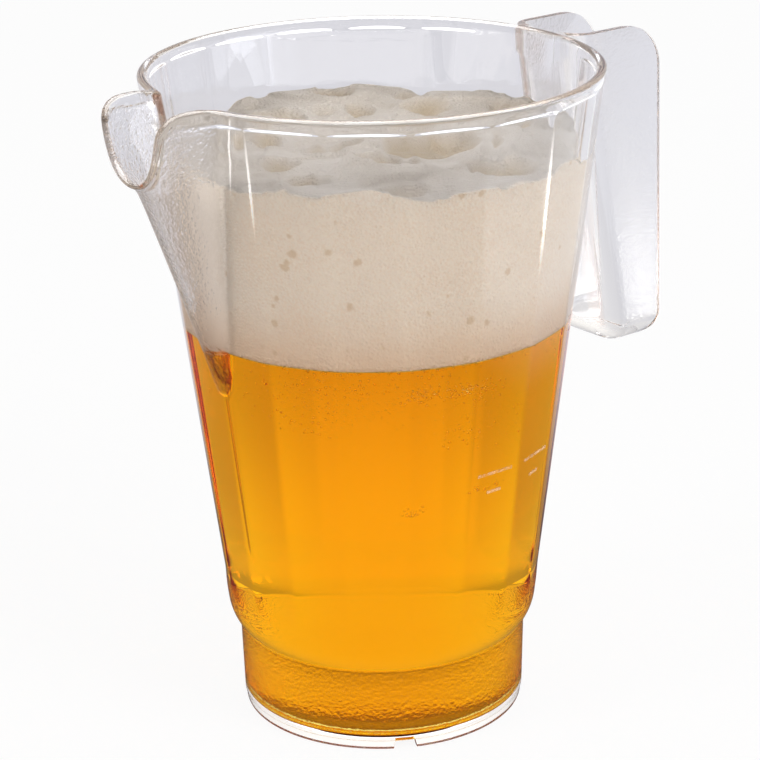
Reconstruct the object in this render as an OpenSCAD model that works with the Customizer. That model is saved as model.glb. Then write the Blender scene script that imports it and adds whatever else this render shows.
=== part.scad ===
// Clear moulded beer pitcher with a fluted wall, a U-trough spout and an open U-channel handle.
// Millimetres, +Z up. Origin: centre of the foot on the table. Spout along -X, handle along +X.

/* [Jug] */
// Outer radius at the top of the rim
rim_r = 69; // [62:0.5:78]
// Height of the rim above the table
jug_h = 202.5; // [190:0.5:220]
// Lean of the wall from upright, in degrees
wall_taper = 7.1; // [6:0.1:8]
// Wall thickness at a flute ridge
wall = 3; // [2.6:0.1:3.6]
// Height of the smooth band above the flutes
rim_band_h = 2.5; // [2:0.1:5]
// Rounding of the rim's two edges
rim_round = 1.1; // [0.6:0.1:1.2]

/* [Flutes] */
// Number of flat flutes round the wall
flutes = 18; // [14:2:24]
// Height over which a flute runs out under the rim band
flute_run = 1.4; // [1:0.1:4]

/* [Base] */
// Height of the shoulder's lower edge above the table
cup_h = 27; // [20:0.5:32]
// Height of the rounded shoulder
shoulder_h = 8; // [6:0.5:12]
// How far the base cup is set in from the wall above it
shoulder_step = 3.5; // [2:0.1:5]
// Lean of the base cup from upright, in degrees
cup_taper = 1.5; // [0.5:0.1:3]
// Wall thickness of the base cup
cup_wall = 2.6; // [2:0.1:3.2]
// Thickness of the floor
floor_t = 2.2; // [1.8:0.1:3.5]
// Height of the foot ring
foot_h = 3; // [2:0.1:5]
// Width of the foot ring
foot_w = 3; // [2:0.1:5]
// How far the foot ring is set in from the edge of the floor
foot_inset = 0.5; // [0.2:0.1:2]
// Width of each drain gap in the foot ring
foot_gap = 6.4; // [4:0.2:12]

/* [Spout] */
// How far the lip reaches out past the rim
spout_reach = 17; // [14:0.5:22]
// How far the wings of the spout rise above the rim
spout_rise = 1.4; // [0.4:0.1:3]
// Depth of the trough's lower end below the rim
spout_drop = 89; // [75:1:95]
// Lean of the trough's bottom line from upright, in degrees
spout_lean = 22.2; // [20:0.2:25]
// Outer width of the trough at rim height
spout_w = 33; // [28:0.5:36]
// Outer width of the trough at its lower end
spout_foot_w = 7; // [6:0.5:10]
// Corner radius of the trough at rim height
spout_corner = 9; // [6:0.5:12]
// Wall thickness of the trough
spout_wall = 2.4; // [1.8:0.1:2.8]
// Wall thickness of the trough's nose at rim height, thin for a clean pour
lip_wall = 0.9; // [0.6:0.1:1.8]
// Rounding of the wings' upper corners
lip_round = 7; // [4:0.5:9]

/* [Handle] */
// How far the handle reaches out past the rim, at rim height
handle_reach = 34; // [30:0.5:42]
// Depth of the handle's lower end below the rim
handle_drop = 104.5; // [90:0.5:115]
// Outward lean of the handle's open edge, in degrees
handle_lean = 1.4; // [0:0.1:3]
// Outer width of the handle's channel
handle_w = 30.5; // [26:0.5:36]
// Wall thickness of the handle
handle_wall = 2.4; // [1.8:0.1:3]
// Depth below the rim at which the handle's web leaves the jug's wall
web_drop = 11; // [8:0.5:16]
// Lean of the handle's web from upright, in degrees
web_lean = 9.8; // [8:0.2:12]
// Corner radius between the handle's web and its side walls
handle_corner = 9; // [6:0.5:11]
// Corner radius where the web turns into the handle's bottom
web_corner = 12; // [10:0.5:14]
// Rounding of the side walls' upper corners
handle_top_round = 14; // [8:0.5:18]
// Rounding of the side walls' lower outer corners
handle_foot_round = 8; // [5:0.5:10]
// Height of the thick root of the web under the rim
handle_root_h = 18; // [15:0.5:30]

/* [Level marks] */
// Height of the long level bars above the table
mark_z = 90; // [70:1:110]
// Length of a long level bar
mark_len = 13; // [8:0.5:15]
// Height of a level bar on the wall
mark_h = 0.9; // [0.6:0.1:2]
// How far a level bar stands out of the wall
mark_t = 0.4; // [0.3:0.1:1]
// Distance from the long bars down to the short ones
mark_step = 6; // [4:0.5:12]

/* [Contents] */
// Distance from the rim down to the foam's edge
head_room = 22.5; // [18:0.5:40]
// Depth of the foam at the wall
foam_h = 53; // [40:0.5:70]
// Height of the foam's lumps
foam_lump = 3; // [1:0.1:5]
// Clearance between the contents and the wall
fill_gap = 0.1; // [0.05:0.01:0.3]

/* [Hidden] */
$fn = 96;
clear_tint = [0.88, 0.88, 0.92, 0.45];
frost_tint = [0.82, 0.82, 0.85, 0.7];
beer_tint = [0.93, 0.6, 0.02];
foam_tint = [0.93, 0.89, 0.82];
far = 60;
slab = 0.01;
round_steps = 10;
band_z = jug_h - rim_band_h;
wall_z = cup_h + shoulder_h;
floor_z = foot_h + floor_t;
flute_half = 180 / flutes;
flute_lean = atan(tan(wall_taper) * cos(flute_half));
flute_top_gap = 0.3;
knee_share = 0.45;
nose_share = 0.98;
foot_arcs = 3;
mark_angles = [-90, -70];
short_mark_share = 0.4;
spout_z = jug_h - spout_drop;
spout_top = jug_h + spout_rise;
lip_r = rim_r + spout_reach;
spout_pocket_z = spout_z + 2 * spout_wall;
handle_z = jug_h - handle_drop;
web_z = jug_h - web_drop;
root_z = jug_h - handle_root_h;
foot_turn = 60;
foam_z = jug_h - head_room;
beer_z = foam_z - foam_h;
foam_rings = 16;
foam_spokes = 64;
// Burst hollows in the foam's top: place and half-width as shares of its radius, then depth in lump heights
foam_hollows = [[-0.7, -0.34, 0.12, 1], [-0.56, -0.02, 0.11, 0.9], [-0.2, -0.32, 0.14, 1.2],
    [0.18, -0.26, 0.24, 1.7], [-0.46, -0.74, 0.12, 1], [0.13, -0.78, 0.15, 1.2], [0.38, 0.78, 0.13, 1.1],
    [0.32, 0.5, 0.1, 0.9], [0.64, 0.52, 0.1, 0.8], [0.56, 0.28, 0.12, 0.9], [-0.42, 0.36, 0.13, 0.8],
    [0.62, -0.3, 0.13, 1], [-0.16, 0.04, 0.12, 0.8], [-0.08, 0.66, 0.14, 0.9], [-0.74, 0.34, 0.1, 0.7],
    [0.86, 0.02, 0.1, 0.8]];
// Mound at the back of the foam's top, in the same measures
foam_mound = [0.36, 0.89, 0.3, 0.8];

// Outer radius of the wall's ridges, and inner radius of the wall, at height z
function wall_r(z) = rim_r - (jug_h - z) * tan(wall_taper);
function bore_r(z) = wall_r(z) - wall;
base_r = wall_r(wall_z) - shoulder_step;
function cup_r(z) = base_r - (cup_h - z) * tan(cup_taper);
function arc(x, y, r, from, to) =
    [for (i = [0:round_steps]) let (a = from + (to - from) * i / round_steps) [x + r * cos(a), y + r * sin(a)]];
function bend(a, b, c) =
    [for (i = [0:round_steps]) let (t = i / round_steps) (1 - t) ^ 2 * a + 2 * t * (1 - t) * b + t ^ 2 * c];

// Rounded shoulder line, from the cup's edge out to the wall, set in by a depth
shoulder_knee = cup_h + knee_share * shoulder_h;
function shoulder_line(cup_in, wall_in) = bend([base_r - cup_in, cup_h], [wall_r(shoulder_knee) - wall_in,
    shoulder_knee], [wall_r(wall_z) - wall_in, wall_z]);

// One flat cut for a flute, from the shoulder up to its run-out under the rim band
module flute_cut() {
    run_z = band_z - flute_top_gap - flute_run;
    flat_r = cos(flute_half);
    out_r = rim_r + far / 2;
    rotate([90, 0, 0])
        linear_extrude(height = 2 * rim_r * tan(flute_half) + 2, center = true)
            polygon([[wall_r(cup_h) * flat_r, cup_h], [wall_r(run_z) * flat_r, run_z],
                [wall_r(run_z + flute_run), run_z + flute_run], [out_r, run_z + flute_run], [out_r, cup_h]]);
}

// Flute cuts all round, apart from the round stretch that the handle stands on
module flute_cuts() {
    handle_half = asin(handle_w / 2 / rim_r);
    for (i = [0:flutes - 1]) {
        middle = (2 * i + 1) * flute_half;
        if (min(middle, 360 - middle) > handle_half + flute_half / 2)
            rotate(middle)
                flute_cut();
    }
}

// Round wall as a filled solid
module filled_wall() {
    rotate_extrude()
        polygon([[0, wall_z], [wall_r(wall_z), wall_z], [wall_r(jug_h + far), jug_h + far], [0, jug_h + far]]);
}

// Space inside the wall
module bore_space() {
    rotate_extrude()
        polygon([[0, wall_z], [bore_r(wall_z), wall_z], [bore_r(jug_h + far), jug_h + far], [0, jug_h + far]]);
}

module trough_slice(z, nose, half_w, corner) {
    translate([0, 0, z]) linear_extrude(height = slab) {
        translate([-nose + corner, -half_w]) square([nose - corner, 2 * half_w]);
        for (side = [-1, 1])
            translate([-nose + corner, side * (half_w - corner)]) circle(r = corner, $fn = 32);
    }
}

// Tapered trough of the spout, from a given lower end up past the rim. It is set in by a depth, and its nose by
// another depth at the top
module trough(inset, low_z, top_inset) {
    function nose(z, depth) = wall_r(spout_z) + (z - spout_z) * tan(spout_lean) - depth / cos(spout_lean);
    function half_w(z) = (spout_foot_w + (spout_w - spout_foot_w) * (z - spout_z) / spout_drop) / 2 - inset;
    high_z = spout_top + slab;
    low_half = max(half_w(low_z), slab);
    hull() {
        trough_slice(high_z, nose(high_z, top_inset), half_w(high_z), spout_corner - inset);
        trough_slice(low_z, nose(low_z, inset), low_half, nose_share * low_half);
    }
}

// Side outline of the spout: wings that rise from the rim, with rounded upper corners and an upright lip
module lip_block() {
    rotate([90, 0, 0])
        linear_extrude(height = 2 * spout_w, center = true)
            polygon(concat([[0, spout_z], [-lip_r, spout_z]],
                arc(-lip_r + lip_round, spout_top - lip_round, lip_round, 180, 90),
                [[-rim_r - spout_rise, spout_top], [-bore_r(jug_h), jug_h], [0, jug_h]]));
}

// Outer face of the handle's web, set in by a depth, and the axis that the web turns about into the bottom
function web_x(z, inset) = wall_r(web_z) + (web_z - z) * tan(web_lean) + inset / cos(web_lean);
turn_z = handle_z + web_corner;
turn_x = web_x(turn_z, web_corner);

// Section of the handle's web with its two rounded corners: x is the depth from the web's outer face
module web_section() {
    flat_half = handle_w / 2 - handle_corner;
    function corners(r) = concat(arc(handle_corner, -flat_half, r, 270, 180), arc(handle_corner, flat_half, r, 180, 90));
    inner = corners(handle_corner - handle_wall);
    polygon(concat(corners(handle_corner), [for (i = [len(inner) - 1:-1:0]) inner[i]]));
}

// The web's straight run, from the bend up past the rim
module web_run() {
    translate([turn_x - web_corner * cos(web_lean), 0, turn_z - web_corner * sin(web_lean)])
        rotate([0, -web_lean, 0])
            linear_extrude(height = handle_drop + far) web_section();
}

// Side outline of the whole handle: its open edge, with a rounded upper and lower corner
module edge_block() {
    function edge_x(z) = rim_r + handle_reach + (jug_h - z) * tan(handle_lean);
    top_z = jug_h - handle_top_round;
    foot_z = handle_z + handle_foot_round;
    foot_x = edge_x(foot_z) - handle_foot_round;
    tail = handle_foot_round / 2;
    tail_at = [foot_x + handle_foot_round * cos(foot_turn), foot_z - handle_foot_round * sin(foot_turn)];
    rotate([90, 0, 0])
        linear_extrude(height = 2 * handle_w, center = true)
            polygon(concat([[0, handle_z - tail], [0, jug_h]],
                arc(edge_x(top_z) - handle_top_round, top_z, handle_top_round, 90, 0),
                arc(foot_x, foot_z, handle_foot_round, 0, -foot_turn),
                [tail_at - tail * [sin(foot_turn), cos(foot_turn)]]));
}

// A block that takes in the handle between two heights
module handle_slice(low_z, high_z) {
    translate([0, -handle_w, low_z])
        cube([rim_r + handle_reach + far, 2 * handle_w, high_z - low_z]);
}

module fluted_wall() {
    color(clear_tint) difference() {
        rotate_extrude()
            polygon([[bore_r(wall_z), wall_z], [wall_r(wall_z), wall_z], [wall_r(band_z), band_z],
                [bore_r(band_z), band_z]]);
        flute_cuts();
        trough(0, spout_z, 0);
    }
}

module rim_band() {
    color(clear_tint) difference() {
        rotate_extrude()
            polygon(concat([[bore_r(band_z), band_z], [wall_r(band_z), band_z]],
                arc(rim_r - rim_round, jug_h - rim_round, rim_round, 0, 90),
                arc(rim_r - wall + rim_round, jug_h - rim_round, rim_round, 90, 180)));
        trough(0, spout_z, 0);
    }
}

module pour_spout() {
    color(frost_tint) difference() {
        intersection() {
            trough(0, spout_z, 0);
            lip_block();
        }
        trough(spout_wall, spout_pocket_z, lip_wall);
        bore_space();
    }
}

module stacking_shoulder() {
    outer = shoulder_line(0, 0);
    inner = shoulder_line(cup_wall, wall);
    color(clear_tint) difference() {
        rotate_extrude()
            polygon(concat(outer, [for (i = [round_steps:-1:0]) inner[i]]));
        flute_cuts();
    }
}

module base_cup() {
    color(frost_tint) rotate_extrude()
        polygon([[cup_r(floor_z) - cup_wall, floor_z], [cup_r(floor_z), floor_z], [base_r, cup_h],
            [base_r - cup_wall, cup_h]]);
}

module jug_floor() {
    color(clear_tint) translate([0, 0, foot_h])
        cylinder(r1 = cup_r(foot_h), r2 = cup_r(floor_z), h = floor_t);
}

// One arc of the foot ring, between two drain gaps
module foot_arc(number) {
    foot_r = cup_r(foot_h) - foot_inset;
    gap_angle = 2 * asin(foot_gap / 2 / foot_r);
    color(clear_tint) rotate((number - 1) * 360 / foot_arcs + gap_angle / 2)
        rotate_extrude(angle = 360 / foot_arcs - gap_angle)
            translate([foot_r - foot_w, 0]) square([foot_w, foot_h]);
}

module handle_root() {
    color(frost_tint) difference() {
        intersection() {
            web_run();
            handle_slice(root_z, jug_h);
        }
        filled_wall();
    }
}

module handle_web() {
    color(frost_tint) intersection() {
        web_run();
        handle_slice(handle_z, root_z);
    }
}

module handle_bend() {
    color(frost_tint) translate([turn_x, 0, turn_z])
        rotate([90, 0, 0])
            rotate(180 + web_lean)
                rotate_extrude(angle = 90 - web_lean)
                    translate([web_corner, 0]) mirror([1, 0]) web_section();
}

module handle_bottom() {
    color(frost_tint) intersection() {
        translate([turn_x, 0, handle_z])
            rotate([0, 90, 0])
                linear_extrude(height = handle_reach + far) mirror([1, 0]) web_section();
        edge_block();
    }
}

// One flat side wall of the handle, from the web's corner out to the open edge: side 1 is +Y, side -1 is -Y
module handle_cheek(side) {
    reach = rim_r + handle_reach + far;
    high_z = jug_h + far;
    middle_y = side * (handle_w - handle_wall) / 2;
    color(frost_tint) intersection() {
        translate([0, middle_y, 0])
            rotate([90, 0, 0])
                linear_extrude(height = handle_wall, center = true)
                    polygon(concat([[web_x(high_z, handle_corner), high_z]],
                        arc(turn_x, turn_z, web_corner - handle_corner, 180 + web_lean, 270),
                        [[reach, handle_z + handle_corner], [reach, high_z]]));
        edge_block();
    }
}

// A bar that lies on the flat of a flute
module level_bar(z, length) {
    translate([wall_r(z) * cos(flute_half), 0, z])
        rotate([0, flute_lean, 0])
            translate([0, -length / 2, -mark_h / 2])
                cube([mark_t, length, mark_h]);
}

module level_marks() {
    color(clear_tint) for (angle = mark_angles)
        rotate(round(angle / flute_half / 2 - 0.5) * 2 * flute_half + flute_half) {
            level_bar(mark_z, mark_len);
            level_bar(mark_z - mark_step, mark_len * short_mark_share);
        }
}

module beer() {
    inner = shoulder_line(cup_wall + fill_gap, wall + fill_gap);
    color(beer_tint) rotate_extrude()
        polygon(concat([[0, floor_z], [cup_r(floor_z) - cup_wall - fill_gap, floor_z]], inner,
            [[bore_r(beer_z) - fill_gap, beer_z], [0, beer_z]]));
}

// Lumpy top of the foam, in lump heights, at a place given as shares of its radius
function foam_wave(u, v) = 0.3 * sin(450 * u + 40) * cos(400 * v - 25) + 0.22 * sin(265 * u - 610 * v + 80)
    + 0.15 * cos(715 * u + 320 * v);
function spot_gap(spot, u, v) = norm([u - spot[0], v - spot[1]]) / spot[2];
function foam_sink(u, v) = max([for (spot = foam_hollows) spot[3] * max(1 - spot_gap(spot, u, v) ^ 2, 0)]);
function foam_swell(u, v) = foam_mound[3] * exp(-spot_gap(foam_mound, u, v) ^ 2);
function foam_point(ring, spoke) = let (
        a = 360 * spoke / foam_spokes,
        share = ring / foam_rings,
        u = share * cos(a),
        v = share * sin(a),
        top = foam_z + foam_lump * (foam_wave(u, v) + foam_swell(u, v) - foam_sink(u, v)),
        r = min(share * (bore_r(foam_z) - fill_gap), bore_r(top) - fill_gap))
    [r * cos(a), r * sin(a), top];

module foam_head() {
    low_r = bore_r(beer_z) - fill_gap;
    rings = [for (k = [1:foam_rings], s = [0:foam_spokes - 1]) foam_point(k, s)];
    low = [for (s = [0:foam_spokes - 1]) let (a = 360 * s / foam_spokes) [low_r * cos(a), low_r * sin(a), beer_z]];
    points = concat([foam_point(0, 0), [0, 0, beer_z]], rings, low);
    function at(ring, s) = 2 + (ring - 1) * foam_spokes + s % foam_spokes;
    spokes = [0:foam_spokes - 1];
    crown = [for (s = spokes) [0, at(1, s + 1), at(1, s)]];
    bands = [for (k = [1:foam_rings], s = spokes) each [[at(k, s), at(k, s + 1), at(k + 1, s)],
        [at(k, s + 1), at(k + 1, s + 1), at(k + 1, s)]]];
    bottom = [for (s = spokes) [1, at(foam_rings + 1, s), at(foam_rings + 1, s + 1)]];
    color(foam_tint) polyhedron(points, concat(crown, bands, bottom));
}

fluted_wall();
rim_band();
pour_spout();
stacking_shoulder();
base_cup();
jug_floor();
foot_arc(1);  // foot_arc_1
foot_arc(2);  // foot_arc_2
foot_arc(3);  // foot_arc_3
handle_root();
handle_web();
handle_bend();
handle_bottom();
handle_cheek(1);  // handle_cheek_left
handle_cheek(-1);  // handle_cheek_right
level_marks();
beer();
foam_head();
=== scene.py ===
"""Looks of a clear moulded beer pitcher: a fluted jug with a trough spout and an open channel handle,
filled with amber beer under a head of foam. Sizes are in millimetres until they are written to a mesh."""
from __future__ import annotations

import logging
import math
import random
from dataclasses import dataclass, field
from enum import Enum
from typing import Callable, Iterable, Sequence

import bpy
import numpy as np
from mathutils import Matrix, Vector, noise


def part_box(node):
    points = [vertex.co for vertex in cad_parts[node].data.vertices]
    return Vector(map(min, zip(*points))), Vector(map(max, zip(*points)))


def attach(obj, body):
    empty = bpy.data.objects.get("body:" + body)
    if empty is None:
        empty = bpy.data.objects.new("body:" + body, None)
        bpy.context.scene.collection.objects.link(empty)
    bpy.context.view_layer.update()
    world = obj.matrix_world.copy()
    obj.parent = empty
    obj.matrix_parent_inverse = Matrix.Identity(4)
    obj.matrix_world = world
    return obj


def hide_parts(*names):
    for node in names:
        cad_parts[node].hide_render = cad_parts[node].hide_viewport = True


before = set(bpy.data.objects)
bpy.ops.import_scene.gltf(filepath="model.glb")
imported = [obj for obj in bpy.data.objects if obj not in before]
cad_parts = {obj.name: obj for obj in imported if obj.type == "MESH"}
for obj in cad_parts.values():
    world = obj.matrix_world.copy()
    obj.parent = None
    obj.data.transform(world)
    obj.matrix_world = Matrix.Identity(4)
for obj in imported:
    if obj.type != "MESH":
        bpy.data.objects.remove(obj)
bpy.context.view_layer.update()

MM = 0.001
BODY = "root"
SEED = 11
MERGE = 0.002
TINY = 0.01

Pair = tuple[float, float]
Colour = tuple[float, float, float]
Triple = tuple[float, float, float]
Spot = tuple[float, float, float, float]
BubbleGroup = tuple[float, float, float, int]
Lamp = tuple[str, Triple, float, float]

log = logging.getLogger("pitcher")


def low(node: str) -> Vector:
    """Lowest corner of a CAD node, in millimetres."""
    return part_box(node)[0] / MM


def high(node: str) -> Vector:
    """Highest corner of a CAD node, in millimetres."""
    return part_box(node)[1] / MM


def blend(a: float, b: float, share: float) -> float:
    """Value that lies a share of the way from a to b."""
    return a + (b - a) * share


def ease(low_end: float, high_end: float, value: float) -> float:
    """Smooth step from 0 at low_end to 1 at high_end."""
    share = min(max((value - low_end) / (high_end - low_end), 0.0), 1.0)
    return share * share * (3 - 2 * share)


def soft_min(a: np.ndarray, b: np.ndarray, width: float) -> np.ndarray:
    """Lesser of two arrays, with the corner between them rounded over a width."""
    near = np.maximum(width - np.abs(a - b), 0) / width
    return np.minimum(a, b) - near * near * width / 4


def crowded(share: np.ndarray, crowd: np.ndarray | float) -> np.ndarray:
    """Shares from 0 to 1, drawn towards both ends."""
    return share - crowd * np.sin(math.tau * share) / math.tau


def sin_deg(degrees: float) -> float:
    """Sine of an angle in degrees."""
    return math.sin(math.radians(degrees))


def spaced(*bands: Triple) -> list[float]:
    """Heights at even steps in each band, which is a start, an end and a step."""
    return [height for start, end, step in bands for height in np.arange(start, end, step)]


def rounded(start: Pair, corner: Pair, end: Pair, shares: Iterable[float]) -> list[Pair]:
    """Points of a curve that leaves its start and meets its end in the direction of one corner.

    Args:
        start: Where the curve starts.
        corner: The corner that it rounds off.
        end: Where the curve ends.
        shares: Share of the way along at each point.

    Returns:
        The points.
    """
    a, b, c = (np.array(point) for point in (start, corner, end))
    return [tuple((1 - t) ** 2 * a + 2 * t * (1 - t) * b + t * t * c) for t in shares]


class Sock:
    """A shader socket that takes part in Python expressions: each operator adds a Math node."""

    def __init__(self, tree: "ShaderTree", socket: bpy.types.NodeSocket) -> None:
        """Wrap one output socket of a tree."""
        self.tree = tree
        self.socket = socket

    def __add__(self, other: "Sock | float") -> "Sock":
        """Sum."""
        return self.tree.math("ADD", self, other)

    __radd__ = __add__

    def __mul__(self, other: "Sock | float") -> "Sock":
        """Product."""
        return self.tree.math("MULTIPLY", self, other)

    __rmul__ = __mul__

    def __sub__(self, other: "Sock | float") -> "Sock":
        """Difference."""
        return self.tree.math("SUBTRACT", self, other)

    def __rsub__(self, other: float) -> "Sock":
        """Difference from a number."""
        return self.tree.math("SUBTRACT", other, self)

    def __pow__(self, other: float) -> "Sock":
        """Power."""
        return self.tree.math("POWER", self, other)


class ShaderTree:
    """Node tree of a material or world, with one method that makes any node."""

    def __init__(self, owner: bpy.types.Material | bpy.types.World) -> None:
        """Empty the owner's node tree and keep it.

        Args:
            owner: The material or world whose tree it is.
        """
        owner.use_nodes = True
        self.tree = owner.node_tree
        self.tree.nodes.clear()

    def add(self, kind: str, settings: dict | None = None, sockets: dict | None = None,
            out: str | int = 0) -> Sock:
        """Make one node.

        Args:
            kind: The node's type, without the ShaderNode prefix.
            settings: Attributes of the node, set first.
            sockets: Values or links of the input sockets, by name or number.
            out: Name or number of the output socket that is given back.

        Returns:
            The chosen output socket.
        """
        node = self.tree.nodes.new("ShaderNode" + kind)
        for name, value in (settings or {}).items():
            setattr(node, name, value)
        for name, value in (sockets or {}).items():
            if isinstance(value, Sock):
                self.tree.links.new(value.socket, node.inputs[name])
            else:
                node.inputs[name].default_value = value
        return Sock(self, node.outputs[out])

    def math(self, operation: str, a: Sock | float, b: Sock | float) -> Sock:
        """Math node on two values."""
        return self.add("Math", {"operation": operation}, {0: a, 1: b})

    def mix(self, share: Sock | float, a: Sock | Colour, b: Sock | Colour) -> Sock:
        """Mix of two colours."""
        ends = [value if isinstance(value, Sock) else (*value, 1.0) for value in (a, b)]
        return self.add("Mix", {"data_type": "RGBA"}, {0: share, 6: ends[0], 7: ends[1]}, 2)

    def range(self, value: Sock, start: float, end: float, to_start: float = 0, to_end: float = 1) -> Sock:
        """Map a value's range onto another range, smoothly and clamped."""
        return self.add("MapRange", {"interpolation_type": "SMOOTHSTEP"},
                        {0: value, 1: start, 2: end, 3: to_start, 4: to_end})

    def place(self) -> Sock:
        """Object coordinates."""
        return self.add("TexCoord", out="Object")

    def attribute(self, name: str) -> Sock:
        """A value that is stored on the mesh's vertices."""
        return self.add("Attribute", {"attribute_name": name}, out="Fac")

    def noise(self, where: Sock, scale: float, detail: float = 2.0, roughness: float = 0.5) -> Sock:
        """Noise value at a scale per metre."""
        return self.add("TexNoise", None, {"Vector": where, "Scale": scale, "Detail": detail,
                                           "Roughness": roughness}, "Fac")

    def cells(self, where: Sock, scale: float, out: str = "Distance") -> Sock:
        """Cell pattern at a scale per metre."""
        return self.add("TexVoronoi", None, {"Vector": where, "Scale": scale}, out)

    def bump(self, height: Sock, distance: float) -> Sock:
        """Bumped normal from a height."""
        return self.add("Bump", None, {"Height": height, "Distance": distance, "Strength": 1.0})

    def measure(self, operation: str, *vectors: Sock | Triple) -> Sock:
        """Number that Vector Math gives for one vector or two."""
        return self.add("VectorMath", {"operation": operation}, dict(enumerate(vectors)), "Value")

    def absorption(self, tint: Colour, density: float) -> Sock:
        """Volume that soaks up light on its way through a piece."""
        return self.add("VolumeAbsorption", None, {"Color": (*tint, 1.0), "Density": density})

    def seen(self) -> Sock:
        """Whether the camera looks straight at the place."""
        return self.add("LightPath", out="Is Camera Ray")

    def mirrored(self) -> Sock:
        """Whether light comes by way of a reflection, and not through clear plastic."""
        return self.add("LightPath", out="Is Glossy Ray") - self.add("LightPath", out="Is Transmission Ray")

    def surface(self, shader: Sock, volume: Sock | None = None) -> None:
        """Link a shader, and a volume where there is one, to the output.

        Args:
            shader: The surface's shader.
            volume: What fills the piece.
        """
        sockets = {"Surface": shader}
        if volume is not None:
            sockets["Volume"] = volume
        self.add_output("OutputMaterial", sockets)

    def add_output(self, kind: str, sockets: dict[str, Sock]) -> None:
        """Make an output node and link it.

        Args:
            kind: The node's type, without the ShaderNode prefix.
            sockets: What is linked to each of its sockets.
        """
        node = self.tree.nodes.new("ShaderNode" + kind)
        for name, value in sockets.items():
            self.tree.links.new(value.socket, node.inputs[name])


class Finish:
    """A finish that is painted with shader nodes."""

    name: str

    def make(self) -> bpy.types.Material:
        """Make the material and paint it.

        Returns:
            The painted material.
        """
        material = bpy.data.materials.new(self.name)
        self.paint(ShaderTree(material))
        return material

    def paint(self, tree: ShaderTree) -> None:
        """Lay out the finish's nodes in an empty tree."""
        raise NotImplementedError


@dataclass(frozen=True)
class MouldedPlastic(Finish):
    """Clear styrene: frosted by a mould grain where the mesh's frost is 1, darkened by painted shade where
    its shade is 1, for the dim look of frost with dark beer behind it, and with beer, foam or more plastic
    behind it where its wet is 1."""

    name: str = "moulded_plastic"
    tint: Colour = (0.985, 0.985, 0.99)
    frost_tint: Colour = (0.935, 0.93, 0.95)
    # Painted shade: dark mauve laid on the frosted trough below the beer line, for the beer seen through the
    # frost.
    tip_painted_shade: Colour = (0.3, 0.27, 0.34)
    gloss_roughness: float = 0.012
    frost_roughness: float = 0.12
    grain_roughness: float = 0.12
    ior: float = 1.53
    beer_ior: float = 1.345
    grain_scale: float = 1050.0
    grain_detail: float = 3.0
    grain_fineness: float = 0.6
    grain_height: float = 0.0003
    pit_scale: float = 840.0
    pit_share: float = 0.5
    ripple_scale: float = 38.0
    ripple_detail: float = 1.0
    ripple_share: float = 0.19
    mottle_scale: float = 320.0
    mottle_share: float = 0.6
    absorb_tint: Colour = (0.8, 0.68, 0.6)
    absorb_density: float = 12.0

    def paint(self, tree: ShaderTree) -> None:
        """Lay out the plastic's nodes.

        Args:
            tree: The material's empty tree.
        """
        where = tree.place()
        frost = tree.attribute("frost")
        grain = tree.noise(where, self.grain_scale, self.grain_detail, self.grain_fineness)
        pits = tree.cells(where, self.pit_scale)
        ripple = tree.noise(where, self.ripple_scale, self.ripple_detail)
        mottle = tree.noise(where, self.mottle_scale)
        height = frost * (grain + self.pit_share * pits)
        height = height + self.ripple_share * ripple + self.mottle_share * frost * mottle
        rough = self.gloss_roughness + frost * (self.frost_roughness + self.grain_roughness * grain)
        tint = tree.mix(frost, self.tint, self.frost_tint)
        # Painted shade on the frosted trough where beer lies behind it.
        tint = tree.mix(tree.attribute("shade"), tint, self.tip_painted_shade)
        dry = tree.add("BsdfPrincipled", {"distribution": "MULTI_GGX"}, {
            "Base Color": tint, "Roughness": rough, "IOR": self.ior, "Transmission Weight": 1.0,
            "Normal": tree.bump(height, self.grain_height)})
        wet = tree.add("BsdfPrincipled", {"distribution": "MULTI_GGX"}, {
            "Base Color": (*self.tint, 1.0), "Roughness": self.gloss_roughness,
            "IOR": self.ior / self.beer_ior, "Transmission Weight": 1.0})
        shader = tree.add("MixShader", None, {0: tree.attribute("wet"), 1: dry, 2: wet})
        tree.surface(shader, tree.absorption(self.absorb_tint, self.absorb_density))


@dataclass(frozen=True)
class AmberBeer(Finish):
    """Clear amber beer that deepens with the length of the light's way through it. The jug's wet inner face
    bends the light on its way in, so the beer's own skin doesn't."""

    name: str = "amber_beer"
    tint: Colour = (1.0, 0.85, 0.2)
    pale: Colour = (1.0, 0.88, 0.24)
    cloud_scale: float = 14.0
    absorb_tint: Colour = (0.986, 0.861, 0.077)
    absorb_density: float = 66.0

    def paint(self, tree: ShaderTree) -> None:
        """Lay out the beer's nodes.

        Args:
            tree: The material's empty tree.
        """
        cloud = tree.noise(tree.place(), self.cloud_scale)
        shader = tree.add("BsdfPrincipled", None, {
            "Base Color": tree.mix(cloud, self.tint, self.pale), "Roughness": 0.0, "IOR": 1.0,
            "Transmission Weight": 1.0})
        tree.surface(shader, tree.absorption(self.absorb_tint, self.absorb_density))


@dataclass(frozen=True)
class BubbleSkin(Finish):
    """Gas bubbles in the beer."""

    name: str = "bubble_skin"
    tint: Colour = (1.0, 0.97, 0.9)
    gloss_roughness: float = 0.01
    film_roughness: float = 0.03
    film_scale: float = 400.0
    ior: float = 0.8

    def paint(self, tree: ShaderTree) -> None:
        """Lay out the bubbles' nodes.

        Args:
            tree: The material's empty tree.
        """
        film = tree.noise(tree.place(), self.film_scale)
        tree.surface(tree.add("BsdfPrincipled", None, {
            "Base Color": (*self.tint, 1.0), "Roughness": self.gloss_roughness + self.film_roughness * film,
            "IOR": self.ior, "Transmission Weight": 1.0}))


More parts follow.
